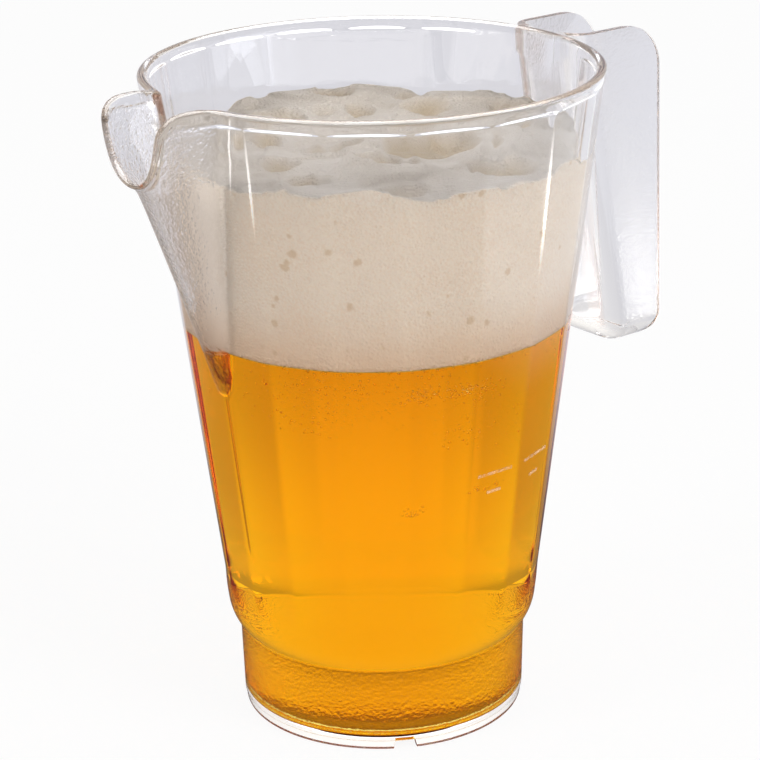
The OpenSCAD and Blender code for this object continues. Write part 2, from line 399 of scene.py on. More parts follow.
@dataclass(frozen=True)
class CreamFoam(Finish):
    """Foam of fine bubbles: cream on its side, a darker grey of painted shade on its top, tan where it is wet
    by the beer, and tan with painted shade in its hollows.
    """

    name: str = "cream_foam"
    cream: Colour = (0.9, 0.8, 0.68)
    # Painted shade: the foam's top is coloured a darker grey than its side, for the light that falls less on
    # it from above.
    crown: Colour = (0.53, 0.475, 0.42)
    tan: Colour = (0.8, 0.54, 0.33)
    # Tan of the wetter foam in the hollows, darkened further by painted shade.
    hollow_tan_and_shade: Colour = (0.4, 0.31, 0.2)
    hollow_share: float = 0.85
    cloud_scale: float = 60.0
    cloud_detail: float = 3.0
    cloud_range: Pair = (0.3, 0.7)
    roughness: Pair = (0.35, 0.7)
    wet_low: float = 0.127
    wet_high: float = 0.152
    wet_ragged: float = 0.006
    wet_share: float = 0.62
    fine_scale: float = 1500.0
    fleck_cloud: float = 0.4
    fleck_range: Pair = (0.78, 0.5)
    fleck_share: float = 0.22
    spot: Colour = (0.66, 0.47, 0.27)
    spot_scale: float = 170.0
    spot_size: float = 0.33
    spot_power: float = 3.0
    spot_ragged: float = 0.3
    spot_range: Pair = (0.05, -0.1)
    spot_share: float = 0.55
    blotch_scale: float = 520.0
    bubble_scale: float = 1100.0
    grain_fine: float = 0.5
    grain_height: float = 0.00035
    ior: float = 1.33

    def paint(self, tree: ShaderTree) -> None:
        """Lay out the foam's nodes.

        Args:
            tree: The material's empty tree.
        """
        where = tree.place()
        crown = tree.attribute("crown")
        side = 1.0 - crown
        height = tree.add("SeparateXYZ", None, {"Vector": where}, "Z")
        cloud = tree.noise(where, self.cloud_scale, self.cloud_detail)
        fine = tree.noise(where, self.fine_scale)
        wet = tree.range(height + self.wet_ragged * cloud, self.wet_low, self.wet_high, 1.0, 0.0)
        # Painted shade on the top (crown), cream on the side, tan where the beer wets it.
        colour = tree.mix(self.wet_share * wet, tree.mix(crown, self.cream, self.crown), self.tan)
        # Tan and painted shade in the hollows, by their depth.
        colour = tree.mix(self.hollow_share * tree.attribute("hollow_tan_and_shade"), colour, self.hollow_tan_and_shade)
        flecks = tree.range(fine + self.fleck_cloud * cloud, *self.fleck_range)
        colour = tree.mix(self.fleck_share * side * flecks, colour, self.tan)
        big = tree.cells(where, self.spot_scale)
        picked = tree.cells(where, self.spot_scale, "Color")
        pick = tree.add("SeparateColor", None, {"Color": picked}, "Red")
        blotch = tree.noise(where, self.blotch_scale)
        ragged = big - self.spot_size * pick ** self.spot_power + self.spot_ragged * (blotch - 0.5)
        spots = tree.range(ragged, *self.spot_range)
        colour = tree.mix(self.spot_share * side * spots, colour, self.spot)
        bubbles = tree.cells(where, self.bubble_scale)
        tree.surface(tree.add("BsdfPrincipled", None, {
            "Base Color": colour, "Roughness": tree.range(cloud, *self.cloud_range, *self.roughness),
            "IOR": self.ior, "Normal": tree.bump(bubbles + self.grain_fine * fine, self.grain_height)}))


@dataclass(frozen=True)
class PaleFrost(Finish):
    """Pale rough plastic of the raised level bars."""

    name: str = "pale_frost"
    tint: Colour = (0.86, 0.64, 0.5)
    shade: Colour = (0.8, 0.45, 0.16)
    speck_scale: float = 1400.0
    speck_height: float = 0.0001
    worn_scale: float = 520.0
    worn_detail: float = 3.0
    worn_range: Pair = (0.35, 0.62)
    thin: float = 0.06
    cover: float = 0.38
    smooth: float = 0.35
    rough: float = 0.3
    ior: float = 1.5

    def paint(self, tree: ShaderTree) -> None:
        """Lay out the bars' nodes.

        Args:
            tree: The material's empty tree.
        """
        where = tree.place()
        speck = tree.noise(where, self.speck_scale)
        worn = tree.range(tree.noise(where, self.worn_scale, self.worn_detail), *self.worn_range)
        tree.surface(tree.add("BsdfPrincipled", None, {
            "Base Color": tree.mix(speck, self.tint, self.shade), "Alpha": self.thin + self.cover * worn,
            "Roughness": self.smooth + self.rough * speck, "IOR": self.ior,
            "Normal": tree.bump(speck, self.speck_height)}))


def fresh_start() -> None:
    """Go to object mode and deselect everything."""
    if bpy.context.mode != "OBJECT":
        bpy.ops.object.mode_set(mode="OBJECT")
    bpy.ops.object.select_all(action="DESELECT")


def name_piece(name: str) -> bpy.types.Object:
    """Give the object that was just made its name.

    Args:
        name: The piece's name.

    Returns:
        The object.
    """
    piece = bpy.context.object
    piece.name = name
    piece.data.name = name
    return piece


def roll_grid(name: str, rows: int, columns: int) -> tuple[bpy.types.Object, np.ndarray, np.ndarray]:
    """Add a flat grid that is to be rolled up round the jug's axis.

    Args:
        name: Name of the piece.
        rows: Number of points along the profile.
        columns: Number of steps round the axis.

    Returns:
        The grid, and the number of each vertex's row and column.
    """
    fresh_start()
    bpy.ops.mesh.primitive_grid_add(
        x_subdivisions=columns, y_subdivisions=rows - 1, size=2.0, location=(0, 0, 0))
    piece = name_piece(name)
    flat = vertices_of(piece) * MM
    row = np.rint((flat[:, 1] + 1) / 2 * (rows - 1)).astype(int)
    column = np.rint((flat[:, 0] + 1) / 2 * columns).astype(int) % columns
    return piece, row, column


def close_roll() -> None:
    """Merge the seam and the poles of the grid that was just rolled, and point its faces outwards."""
    bpy.ops.object.mode_set(mode="EDIT")
    bpy.ops.mesh.select_all(action="SELECT")
    bpy.ops.mesh.remove_doubles(threshold=MERGE * MM)
    bpy.ops.mesh.normals_make_consistent(inside=False)
    bpy.ops.object.mode_set(mode="OBJECT")
    bpy.ops.object.shade_smooth()


def turn_profile(name: str, points: Sequence[Pair], columns: int) -> bpy.types.Object:
    """Roll a profile once round the jug's axis, and leave its seam open.

    Args:
        name: Name of the piece.
        points: Radii and heights, in millimetres.
        columns: Number of steps round the axis.

    Returns:
        The rolled piece.
    """
    piece, row, column = roll_grid(name, len(points), columns)
    profile = np.array(points)
    angles = column * math.tau / columns
    radius = profile[row, 0]
    where = np.stack((radius * np.cos(angles), radius * np.sin(angles), profile[row, 1]), axis=1)
    move_vertices(piece, where)
    return piece


def vertices_of(piece: bpy.types.Object) -> np.ndarray:
    """Read a piece's vertices.

    Args:
        piece: The piece.

    Returns:
        Their places, in millimetres.
    """
    flat = np.empty(len(piece.data.vertices) * 3, dtype=np.float32)
    piece.data.vertices.foreach_get("co", flat)
    return flat.reshape(-1, 3).astype(float) / MM


def move_vertices(piece: bpy.types.Object, where: np.ndarray) -> None:
    """Put a piece's vertices at new places, given in millimetres."""
    piece.data.vertices.foreach_set("co", (where * MM).astype(np.float32).ravel())
    piece.data.update()


def from_lowest(corners: tuple[int, ...]) -> tuple[int, ...]:
    """A face's corners in order, from the lowest number on: a primitive's faces may start at any of them."""
    start = corners.index(min(corners))
    return (*corners[start:], *corners[:start])


def store(piece: bpy.types.Object, name: str, values: np.ndarray) -> None:
    """Store one number per vertex on a piece."""
    layer = piece.data.attributes.new(name, "FLOAT", "POINT")
    layer.data.foreach_set("value", values.astype(np.float32))


def dress(piece: bpy.types.Object, material: bpy.types.Material,
          nodes: Iterable[str] = ()) -> None:
    """Give a piece its finish and its place in the record.

    Args:
        piece: The piece.
        material: Its only material.
        nodes: The CAD nodes that it stands for.
    """
    piece.data.materials.clear()
    piece.data.materials.append(material)
    if nodes:
        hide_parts(*nodes)
    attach(piece, BODY)
    log.info("%s: %d vertices, %d faces", piece.name, len(piece.data.vertices), len(piece.data.polygons))


class Outline:
    """An open line through close points, measured along its length."""

    def __init__(self, points: Sequence[Pair]) -> None:
        """Measure the line.

        Args:
            points: Its points in order.
        """
        self.points = np.array(points)
        steps = np.hypot(*np.diff(self.points, axis=0).T)
        self.way = np.concatenate(([0.0], np.cumsum(steps)))

    @property
    def length(self) -> float:
        """Whole length of the line."""
        return float(self.way[-1])

    def at(self, share: float) -> Pair:
        """Point that lies a share of the way along."""
        way = share * self.length
        return tuple(float(np.interp(way, self.way, self.points[:, axis])) for axis in (0, 1))


class Zone(Enum):
    """Which surface of the jug a ring of its mesh lies on."""

    BASE = "base"
    SHOULDER = "shoulder"
    OUTSIDE = "outside"
    EDGE = "edge"
    INSIDE = "inside"


@dataclass
class Ring:
    """One ring of the jug's mesh: its plain round place, its share of the way up the wall or over the edge,
    and whether beer or foam lies against it."""

    zone: Zone
    radius: float
    height: float
    share: float = 0.0
    wet: float = 0.0


@dataclass
class Jug:
    """The moulded jug: foot, base cup, shoulder, fluted wall, rim and trough spout in one seamless shell."""

    rim_r: float = field(default_factory=lambda: high("rim_band").y)
    top_z: float = field(default_factory=lambda: high("rim_band").z)
    wall_z: float = field(default_factory=lambda: low("fluted_wall").z)
    cup_z: float = field(default_factory=lambda: high("base_cup").z)
    floor_z: float = field(default_factory=lambda: high("jug_floor").z)
    foot_z: float = field(default_factory=lambda: low("jug_floor").z)
    base_r: float = field(default_factory=lambda: high("base_cup").y)
    floor_r: float = field(default_factory=lambda: high("jug_floor").y)
    spout_z: float = field(default_factory=lambda: low("pour_spout").z)
    wing_z: float = field(default_factory=lambda: high("pour_spout").z)
    lip_r: float = field(default_factory=lambda: -low("pour_spout").x)
    wet_z: float = field(default_factory=lambda: (low("foam_head").z + high("foam_head").z) / 2)
    beer_z: float = field(default_factory=lambda: high("beer").z)
    taper: float = math.tan(math.radians(7.1))
    cup_taper: float = math.tan(math.radians(1.5))
    wall: float = 3.0
    cup_wall: float = 2.6
    knee_share: float = 0.45
    rim_round: float = 1.1
    flutes: int = 18
    rim_h: float = 2.5
    rim_steps: int = 8
    ridge_round: float = 0.35
    crest_round: float = 0.25
    flute_top: float = 1.2
    flute_rise: float = 0.9
    flute_run: float = 1.6
    flute_start: float = 1.0
    flute_foot: float = 9.0
    flute_clear: float = 1.012
    behind_handle: float = 0.999
    flute_bulge: float = 0.3
    ridge_crowd: float = 0.78
    spout_crowd: float = 0.45
    flute_columns: int = 32
    spout_lean: float = math.tan(math.radians(20.4))
    flare_drop: float = 22.7
    flare_soft: float = 1.5
    lip_flare: float = 1.5
    spout_half: float = 16.5
    spout_low_half: float = 3.6
    spout_fillet: float = 5.0
    tip_fillet: float = 0.8
    root_limit: float = 0.7
    bowl_limit: float = 0.6
    spout_wall: float = 2.5
    lip_wall: float = 1.2
    pocket_lift: float = 4.8
    pocket_least: float = 0.02
    tip_round: float = 5.0
    lip_round: float = 7.0
    wing_in: float = 4.0
    wing_out: float = 3.0
    frost_margins: Pair = (2.6, 0.4)
    frost_soft: float = 0.8
    frost_past: float = 0.6
    frost_short: float = 0.3
    shade_soft: float = 1.5
    cup_frost: float = 0.45
    cup_frost_rise: Pair = (0.2, 0.9)
    cup_pick: float = 0.5
    cup_margins: Pair = (0.8, 1.0)
    cup_heights: tuple[float, ...] = (9.0, 13.0, 17.0, 21.0, 24.0)
    inner_cup_heights: Pair = (20.0, 12.0)
    foot_w: float = 3.0
    foot_inset: float = 0.5
    foot_round: float = 0.5
    foot_tuck: float = 0.15
    foot_root: float = 0.4
    foot_pick: float = 0.05
    root_ease: Pair = (0.08, 0.1)
    edge_ease: Pair = (0.1, 0.05)
    hub_mid: float = 18.0
    hub_step: float = 3.0
    foot_gap: float = 6.4
    foot_gaps: int = 3
    gap_rest: float = 0.02
    seam: float = 0.25
    seam_deep: float = 0.16
    seam_proud: float = 0.02
    bowl_round: float = 2.0
    bowl_rise: float = 0.9
    floor_radii: Triple = (28.0, 14.0, 0.0)
    shoulder_rings: int = 14
    inner_shoulder_rings: int = 8
    shoulder_samples: int = 24
    wall_samples: int = 28
    pocket_samples: int = 8
    lead_samples: int = 14
    bend_samples: int = 8
    bowl_samples: int = 24
    search_margin: float = 1.0
    halvings: int = 22

    @property
    def columns(self) -> int:
        """Number of columns round the jug."""
        return self.flutes * self.flute_columns

    @property
    def flute_angle(self) -> float:
        """Angle that one flute takes up."""
        return math.tau / self.flutes

    @property
    def edge_z(self) -> float:
        """Height at which the rim's rounding starts."""
        return self.top_z - self.rim_round

    def wall_r(self, z: float) -> float:
        """Outer radius of the wall's ridges at a height."""
        return self.rim_r - (self.top_z - z) * self.taper

    def cup_r(self, z: float) -> float:
        """Outer radius of the base cup at a height."""
        return self.base_r - (self.cup_z - z) * self.cup_taper

    def inner_r(self, z: float) -> float:
        """Inner radius of the jug, in its base cup or above.

        Args:
            z: The height.

        Returns:
            The radius.
        """
        if z >= self.wall_z:
            return self.wall_r(z) - self.wall
        if z <= self.cup_z:
            return self.cup_r(z) - self.cup_wall
        points = self.shoulder_line(self.cup_wall, self.wall, self.shoulder_samples)
        return float(np.interp(z, [p[1] for p in points], [p[0] for p in points]))

    def shoulder_line(self, cup_in: float, wall_in: float, steps: int) -> list[Pair]:
        """Rounded shoulder from the cup's edge out to the wall.

        Args:
            cup_in: How far the line is set in at the cup.
            wall_in: How far the line is set in at the wall.
            steps: Number of steps along it.

        Returns:
            Radii and heights, from the cup up.
        """
        knee_z = blend(self.cup_z, self.wall_z, self.knee_share)
        return rounded((self.base_r - cup_in, self.cup_z), (self.wall_r(knee_z) - wall_in, knee_z),
                       (self.wall_r(self.wall_z) - wall_in, self.wall_z), np.linspace(0, 1, steps + 1))

    def wall_heights(self) -> list[float]:
        """Heights of the outer wall's rings: close together at the trough's tip and at the flutes' tops.

        Returns:
            The heights, from the shoulder up.
        """
        foot = [self.wall_z + step for step in (0.8, 1.6, 2.6, 3.6, 4.8, 6.0, 7.2, 8.4, 9.6)]
        rest = spaced((self.wall_z + 12, self.spout_z - 8, 6.5), (self.spout_z - 5, self.spout_z + 16, 1.4),
                      (self.spout_z + 18, self.top_z - 12, 4.0), (self.top_z - 10, self.top_z - 5.6, 1.1),
                      (self.top_z - 5.2, self.top_z - 2.0, 0.32))
        return [*foot, *rest, self.top_z - 1.6, self.edge_z]

    def inner_heights(self) -> list[float]:
        """Heights of the inner wall's rings.

        Returns:
            The heights, from above the shoulder up.
        """
        rest = spaced((self.wall_z + 7, self.spout_z - 4, 9.0), (self.spout_z, self.spout_z + 22, 1.6),
                      (self.spout_z + 24, self.top_z - 8, 5.0))
        return [*rest, self.top_z - 6, self.top_z - 3, self.edge_z]

    def base_line(self) -> list[Pair]:
        """Section of the base from the middle of its underside, over the foot ring and up the cup.

        Returns:
            Radii and heights.
        """
        low_r = self.cup_r(self.foot_z)
        floor_r = self.cup_r(self.floor_z)
        foot_r = low_r - self.foot_inset
        hub = foot_r - self.foot_w
        edge = self.foot_round
        tuck = self.foot_tuck
        root_z = self.foot_z - self.foot_root
        under = [(radius, self.foot_z) for radius in (0.0, self.hub_mid, hub - self.hub_step, hub)]
        foot = [(hub, root_z), (hub, edge), (hub + tuck, tuck), (hub + edge, 0.0), (foot_r - edge, 0.0),
                (foot_r - tuck, tuck), (foot_r, edge), (foot_r, root_z)]
        bevel = [(foot_r + self.root_ease[0], self.foot_z - self.root_ease[1]),
                 (foot_r + self.seam, self.foot_z),
                 (low_r - self.edge_ease[0], self.foot_z + self.edge_ease[1])]
        clear = [(self.cup_r(z), z) for z in (self.foot_z + self.seam, self.floor_z - self.seam)]
        seam = [(floor_r - self.seam_deep, self.floor_z),
                (floor_r + self.seam_proud, self.floor_z + self.seam)]
        low_margin, high_margin = self.cup_margins
        heights = (self.floor_z + low_margin, *self.cup_heights, self.cup_z - high_margin)
        return [*under, *foot, *bevel, *clear, *seam, *((self.cup_r(z), z) for z in heights)]

    def floor_line(self) -> list[Pair]:
        """Section of the inside from the shoulder's top down the cup to the middle of the floor.

        Returns:
            Radii and heights.
        """
        shoulder = self.shoulder_line(self.cup_wall, self.wall, self.inner_shoulder_rings)
        cup = [(self.inner_r(z), z) for z in (*self.inner_cup_heights, self.floor_z + self.bowl_round)]
        bowl = self.inner_r(self.floor_z)
        corner = [(bowl - self.seam, self.floor_z + self.bowl_rise),
                  (bowl - self.bowl_rise, self.floor_z + self.seam)]
        floor = [(radius, self.floor_z) for radius in (bowl - self.bowl_round, *self.floor_radii)]
        return [*reversed(shoulder), *cup, *corner, *floor]

    def rings(self) -> list[Ring]:
        """All rings from the middle of the underside, up the outside, over the rim and down to the floor.

        Returns:
            The rings in order.
        """
        tall = self.edge_z - self.wall_z
        half = self.wall / 2
        made = [Ring(Zone.BASE, r, z) for r, z in self.base_line()]
        made += [Ring(Zone.SHOULDER, r, z) for r, z in self.shoulder_line(0, 0, self.shoulder_rings)]
        made += [Ring(Zone.OUTSIDE, self.wall_r(z), z, (z - self.wall_z) / tall) for z in self.wall_heights()]
        for i in range(1, self.rim_steps):
            turn = math.pi * i / self.rim_steps
            radius = self.wall_r(self.edge_z) - half + half * math.cos(turn)
            height = self.edge_z + self.rim_round * math.sin(turn)
            made.append(Ring(Zone.EDGE, radius, height, i / self.rim_steps))
        for z in reversed(self.inner_heights()):
            wet = float(z < self.wet_z)
            made.append(Ring(Zone.INSIDE, self.wall_r(z) - self.wall, z, (z - self.wall_z) / tall, wet))
        return [*made, *(Ring(Zone.BASE, r, z, wet=1.0) for r, z in self.floor_line())]

    def angles(self) -> np.ndarray:
        """Angle of each column, crowded towards the flutes' ridges, and less so at the spout.

        Returns:
            The angles.
        """
        number, part = np.divmod(np.arange(self.columns), self.flute_columns)
        middle = self.flutes // 2
        at_spout = (number == middle) | (number == middle - 1)
        crowd = np.where(at_spout, self.spout_crowd, self.ridge_crowd)
        return (number + crowded(part / self.flute_columns, crowd)) * self.flute_angle

    def fluted_r(self, angles: np.ndarray, z: float, plain_r: float) -> np.ndarray:
        """Outer radius of the fluted wall along one ring.

        Args:
            angles: Angles of the ring's points.
            z: Height of the ring.
            plain_r: Radius of the ring without flutes.

        Returns:
            The radius at each angle.
        """
        run_z = self.top_z - self.rim_h - self.flute_top + self.flute_rise
        lift = ease(run_z - self.flute_run, run_z, z)
        half = self.flute_angle / 2
        plain = max(lift, 1 - ease(self.wall_z - self.flute_start, self.wall_z + self.flute_foot, z))
        flat = plain_r * blend(math.cos(half), self.flute_clear, plain)
        across = np.mod(angles, self.flute_angle) - half
        facet = flat / np.cos(across)
        beside = flat / np.cos(self.flute_angle - np.abs(across))
        ridge = soft_min(facet, beside, self.ridge_round)
        cut = soft_min(ridge, np.full_like(facet, plain_r), self.crest_round)
        left_round = np.minimum(angles, math.tau - angles) < self.flute_angle * self.behind_handle
        return np.where(left_round, plain_r, blend(cut, plain_r, self.flute_bulge))

    def tip(self, z: float, low_z: float) -> float:
        """How far the trough has opened above its rounded lower tip."""
        share = min(max((z - low_z) / self.tip_round, 0.0), 1.0)
        return math.sqrt(max(1 - (1 - share) ** 2, 0.0))

    def past_flare(self, z: float) -> float:
        """How far a height lies above the place where the trough's bottom line turns out to its lip."""
        return z - (self.top_z - self.flare_drop)

    def nose(self, z: float) -> float:
        """Outer reach of the trough's bottom line: a straight slope that flares out to the lip.

        Args:
            z: The height.

        Returns:
            The reach from the axis.
        """
        past = self.past_flare(z)
        flare = (past + math.hypot(past, self.flare_soft)) / 2
        return self.wall_r(self.spout_z) + max(z - self.spout_z, 0) * self.spout_lean + flare * self.lip_flare

    def nose_slope(self, z: float) -> float:
        """How fast the trough's bottom line moves out with height."""
        past = self.past_flare(z)
        return self.spout_lean + self.lip_flare * (1 + past / math.hypot(past, self.flare_soft)) / 2

    def spout_half_w(self, z: float) -> float:
        """Outer half-width of the trough at a height."""
        share = (z - self.spout_z) / (self.top_z - self.spout_z)
        return blend(self.spout_low_half, self.spout_half, share)

    def trough_line(self, wall: Outline, reach: float, fillet: float) -> Outline:
        """Half of the trough's outline at one height.

        Args:
            wall: The wall's outline from the ridge beside the spout to the trough's root.
            reach: How far the trough's middle lies from the axis.
            fillet: Length that the rounded root takes from the wall and from the trough.

        Returns:
            The line along the wall, round the root and over a half ellipse to the trough's middle.
        """
        root_u, half = wall.at(1.0)
        deep = max(reach - root_u, TINY)
        back = min(fillet / wall.length, self.root_limit)
        lead = [wall.at((1 - back) * share * share) for share in np.linspace(0, 1, self.lead_samples)]
        turns = np.linspace(math.acos(min(fillet / deep, self.bowl_limit)), 0, self.bowl_samples)
        bowl = [(root_u + deep * math.cos(turn), half * math.sin(turn)) for turn in turns]
        bend = rounded(lead[-1], (root_u, half), bowl[0], np.linspace(0, 1, self.bend_samples)[1:-1])
        return Outline([*lead, *bend, *bowl])

    def outer_path(self, z: float) -> Outline:
        """Half of the outer outline, from the ridge beside the spout to the trough's middle.

        Args:
            z: The height.

        Returns:
            The outline.
        """
        if z <= self.spout_z + TINY:
            return self.wall_line(z, 0.0)
        half = self.spout_half_w(z) * self.tip(z, self.spout_z)
        share = (z - self.spout_z) / (self.top_z - self.spout_z)
        wall = self.wall_line(z, math.asin(half / self.wall_r(z)))
        return self.trough_line(wall, self.nose(z), blend(self.tip_fillet, self.spout_fillet, share))

    def wall_line(self, z: float, end: float) -> Outline:
        """The wall's outer outline, from the ridge beside the spout towards the trough's middle.

        Args:
            z: The height.
            end: Angle at which it ends.

        Returns:
            The outline.
        """
        shares = crowded(np.linspace(0, 1, self.wall_samples), self.ridge_crowd)
        turns = blend(self.flute_angle, end, shares)
        radius = self.fluted_r(math.pi + turns, z, self.wall_r(z))
        return Outline(np.stack((radius * np.cos(turns), radius * np.sin(turns)), axis=1))

    def inner_path(self, z: float) -> Outline:
        """Half of the inner outline, from beside the spout to the trough's middle.

        Args:
            z: The height.

        Returns:
            The outline.
        """
        r = self.wall_r(z) - self.wall
        low_z = self.spout_z + self.pocket_lift
        opened = self.tip(z, low_z)
        half = max((self.spout_half_w(z) - self.spout_wall) * opened, self.pocket_least)
        share = min(max((z - low_z) / (self.top_z - self.flare_drop - low_z), 0.0), 1.0)
        skin = blend(self.spout_wall, self.lip_wall, share) * math.hypot(1, self.nose_slope(z))
        turns = np.linspace(self.flute_angle, math.asin(half / r), self.pocket_samples)
        wall = Outline([(r * math.cos(turn), r * math.sin(turn)) for turn in turns])
        root_u = wall.at(1.0)[0]
        reach = root_u + max(self.nose(z) - skin - root_u, 0.0) * opened
        return self.trough_line(wall, reach, blend(self.tip_fillet / 2, self.spout_fillet / 2, share))

    def wing_top(self, reach: float) -> float:
        """Height of the wings' top edge at a reach from the axis."""
        share = ease(self.rim_r - self.wing_in, self.rim_r + self.wing_out, reach)
        return blend(self.top_z, self.wing_z, share)

    def inside_edge(self, reach: float, z: float) -> bool:
        """Whether a point of the spout's sheet lies inside its rounded edge.

        Args:
            reach: The point's reach from the axis.
            z: The point's height.

        Returns:
            True inside the edge.
        """
        trim = self.rim_round
        turn_u = self.lip_r - self.lip_round
        turn_z = self.wing_z - self.lip_round
        if reach > turn_u and z > turn_z:
            return math.hypot(reach - turn_u, z - turn_z) < self.lip_round - trim
        return reach < self.lip_r - trim and z < self.wing_top(reach) - trim

    def edge_way(self, reach: float, z: float) -> Pair:
        """Direction in which the spout's edge faces at a point.

        Args:
            reach: The point's reach from the axis.
            z: The point's height.

        Returns:
            How far it faces outwards and how far upwards.
        """
        turn_u = self.lip_r - self.lip_round
        turn_z = self.wing_z - self.lip_round
        if reach <= turn_u:
            return 0.0, 1.0
        if z <= turn_z:
            return 1.0, 0.0
        span = math.hypot(reach - turn_u, z - turn_z)
        return (reach - turn_u) / span, (z - turn_z) / span

    def sheet_end(self, path: Callable[[float], Outline], share: float) -> float:
        """Height at which a column of the spout's sheet reaches the edge, found by halving.

        Args:
            path: Gives the sheet's outline at a height.
            share: Share of the way along the outline at which the column stands.

        Returns:
            The height.
        """
        low_z = self.spout_z + self.search_margin
        high_z = self.wing_z + self.search_margin
        for _ in range(self.halvings):
            middle = (low_z + high_z) / 2
            if self.inside_edge(path(middle).at(share)[0], middle):
                low_z = middle
            else:
                high_z = middle
        return low_z

    def spout_column(self, share: float, rings: Sequence[Ring]) -> tuple[list[Vector], list[float]]:
        """One column of the spout, with its reach, half-breadth and height at each wall ring.

        Args:
            share: 0 at the ridge beside the spout, 1 in the trough's middle.
            rings: The jug's rings.

        Returns:
            The places, and how frosted each is.
        """
        out_end = self.sheet_end(self.outer_path, share)
        in_end = self.sheet_end(self.inner_path, share)
        outer = self.outer_path(out_end).at(share)
        inner = self.inner_path(in_end).at(share)
        rim_out = Vector((*outer, out_end))
        rim_in = Vector((*inner, in_end))
        way = self.edge_way(outer[0], out_end)
        facing = Vector((way[0], 0.0, way[1])) * self.rim_round
        places: list[Vector] = []
        frost: list[float] = []
        for ring in rings:
            grain = 0.0
            if ring.zone is Zone.OUTSIDE:
                z = blend(self.wall_z, out_end, ring.share)
                place = Vector((*self.outer_path(z).at(share), z))
                margin = blend(*self.frost_margins, way[0])
                half = self.spout_half_w(z) * self.tip(z, self.spout_z)
                grain = (ease(half + self.frost_past, half - self.frost_short, place.y)
                         * ease(margin, margin + self.frost_soft, out_end - z)
                         * ease(self.spout_z, self.spout_z + self.frost_soft, z))
            elif ring.zone is Zone.INSIDE:
                z = blend(self.wall_z, in_end, ring.share)
                place = Vector((*self.inner_path(z).at(share), z))
            else:
                turn = math.pi * ring.share
                middle = (rim_out + rim_in) / 2
                place = middle + (rim_out - rim_in) / 2 * math.cos(turn) + facing * math.sin(turn)
            places.append(place)
            frost.append(grain)
        return places, frost

    def beer_behind(self, z: float) -> float:
        """How far beer lies behind the wall at a height, with a soft edge at the foam: the mask of the
        painted shade on the frosted trough.
        """
        return ease(self.beer_z + self.shade_soft, self.beer_z - self.shade_soft, z)

    def round_places(self, rings: Sequence[Ring], angles: np.ndarray) -> tuple[np.ndarray, np.ndarray]:
        """Lay out all rings before the spout is drawn out.

        Args:
            rings: The jug's rings.
            angles: Angle of each column.

        Returns:
            The places, and how frosted each is, by ring and column.
        """
        places = np.zeros((len(rings), self.columns, 3))
        frost = np.zeros((len(rings), self.columns))
        gap_half = math.asin(self.foot_gap / 2 / self.floor_r)
        half_arc = math.pi / self.foot_gaps
        from_gap = np.mod(angles + half_arc, 2 * half_arc) - half_arc
        in_gap = np.abs(from_gap) < gap_half
        low_rise, high_rise = self.cup_frost_rise
        for i, ring in enumerate(rings):
            radius = np.full(self.columns, ring.radius)
            height = np.full(self.columns, ring.height)
            below = self.foot_z - ring.height
            if ring.zone in (Zone.SHOULDER, Zone.OUTSIDE):
                radius = self.fluted_r(angles, ring.height, ring.radius)
            if below > self.foot_pick:
                height = np.where(in_gap, self.foot_z - self.gap_rest * below, height)
            if ring.zone is Zone.BASE and ring.radius > self.inner_r(self.floor_z) + self.cup_pick:
                rise = ease(self.floor_z + low_rise, self.floor_z + high_rise, ring.height)
                fall = 1 - ease(self.cup_z - high_rise, self.cup_z, ring.height)
                frost[i] = self.cup_frost * rise * fall
            places[i] = np.stack((radius * np.cos(angles), radius * np.sin(angles), height), axis=1)
        return places, frost

    def build(self) -> bpy.types.Object:
        """Roll up the jug, cut its flutes and draw out its spout.

        Returns:
            The jug.
        """
        rings = self.rings()
        piece, row, column = roll_grid("jug_body", len(rings), self.columns)
        places, frost = self.round_places(rings, self.angles())
        # Mask of the painted shade on the frosted trough, where beer lies behind it.
        shade = np.zeros_like(frost)
        sheet = (Zone.OUTSIDE, Zone.EDGE, Zone.INSIDE)
        walls = [i for i, ring in enumerate(rings) if ring.zone in sheet]
        wall_rings = [rings[i] for i in walls]
        middle = self.columns // 2
        for step in range(self.flute_columns):
            share = 1 - crowded(step / self.flute_columns, self.spout_crowd)
            drawn, grain = self.spout_column(share, wall_rings)
            for side in (-1, 1):
                at = (middle + side * step) % self.columns
                places[walls, at] = [(-p.x, -side * p.y, p.z) for p in drawn]
                frost[walls, at] = grain
                # Painted shade on the frosted trough below the beer line.
                shade[walls, at] = [g * self.beer_behind(p.z) for g, p in zip(grain, drawn)]
        move_vertices(piece, places[row, column])
        store(piece, "frost", frost[row, column])
        store(piece, "shade", shade[row, column])
        store(piece, "wet", np.array([ring.wet for ring in rings])[row])
        close_roll()
        return piece


